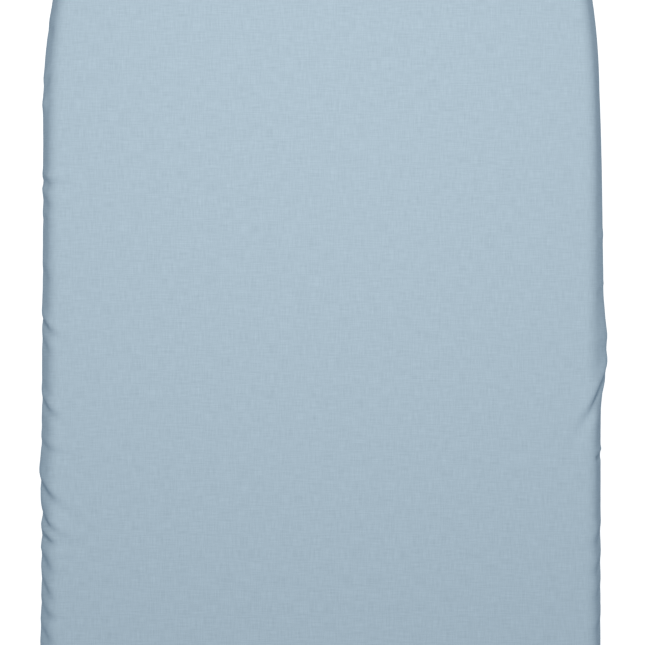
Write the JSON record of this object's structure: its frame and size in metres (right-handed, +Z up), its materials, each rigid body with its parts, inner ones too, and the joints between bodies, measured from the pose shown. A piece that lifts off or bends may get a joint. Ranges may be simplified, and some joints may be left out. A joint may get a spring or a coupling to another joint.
{
  "type": "tabletop shirt board",
  "caption": "Padded tabletop board for pressing and folding shirts, with a tapered nose, a gathered cotton cover, fold-flat tube legs and a wire hanging loop.",
  "frame": {"origin": "on the table, under the middle of the board's outline", "axes": "+Y from the square tail to the tapered nose, +Z up, +X across the board"},
  "size_m": [0.32, 0.7299, 0.13],
  "materials": {
    "cover_cotton": "pale blue slub-woven cotton, matt",
    "casing_tape": "folded cotton casing, stitched",
    "elastic_band": "woven elastic",
    "label_satin": "blank satin ribbon",
    "pad_foam": "open-cell foam",
    "pad_felt": "needled felt",
    "deck_steel": "powder-coated sheet, light grey",
    "frame_paint": "powder coat, light grey",
    "leg_paint": "powder coat, light grey, semi-gloss",
    "bracket_zinc": "zinc-plated pressing",
    "rivet_steel": "bright plated",
    "clip_plastic": "moulded, dark grey",
    "foot_plastic": "moulded, dark grey",
    "bush_nylon": "natural nylon",
    "sole_rubber": "matt black",
    "loop_wire": "plated wire"
  },
  "bodies": {
    "board": {"cover": "cover_cotton", "hem_casing": "casing_tape", "hem_elastic": "elastic_band", "care_label": "label_satin", "foam_pad": "pad_foam", "felt_underlay": "pad_felt", "vented_deck": "deck_steel", "rim_tube": "frame_paint", "front_pivot_rail": "frame_paint", "front_clip_rail": "frame_paint", "rear_clip_rail": "frame_paint", "rear_pivot_rail": "frame_paint", "tail_rail": "frame_paint", "front_leg_brackets": "bracket_zinc", "rear_leg_brackets": "bracket_zinc", "bracket_rivets": "rivet_steel", "front_pivot_pins": "rivet_steel", "rear_pivot_pins": "rivet_steel", "front_leg_clip": "clip_plastic", "rear_leg_clip": "clip_plastic", "clip_rivets": "rivet_steel", "loop_saddle": "clip_plastic", "saddle_rivets": "rivet_steel"},
    "front_leg": {"front_leg_tube": "leg_paint", "front_leg_bushes": "bush_nylon", "front_feet": "foot_plastic", "front_foot_soles": "sole_rubber"},
    "rear_leg": {"rear_leg_tube": "leg_paint", "rear_leg_bushes": "bush_nylon", "rear_feet": "foot_plastic", "rear_foot_soles": "sole_rubber"},
    "loop": {"hanging_loop": "loop_wire"}
  },
  "joints": [
    {"name": "front_leg_fold", "type": "hinge", "parent": "board", "child": "front_leg", "pos_m": [0, 0.195, 0.0997], "axis": [1, 0, 0], "range_deg": [-102, 0]},
    {"name": "rear_leg_fold", "type": "hinge", "parent": "board", "child": "rear_leg", "pos_m": [0, -0.255, 0.0997], "axis": [-1, 0, 0], "range_deg": [-102, 0]},
    {"name": "loop_swing", "type": "hinge", "parent": "board", "child": "loop", "pos_m": [0, -0.309, 0.1029], "axis": [-1, 0, 0], "range_deg": [0, 180]}
  ]
}
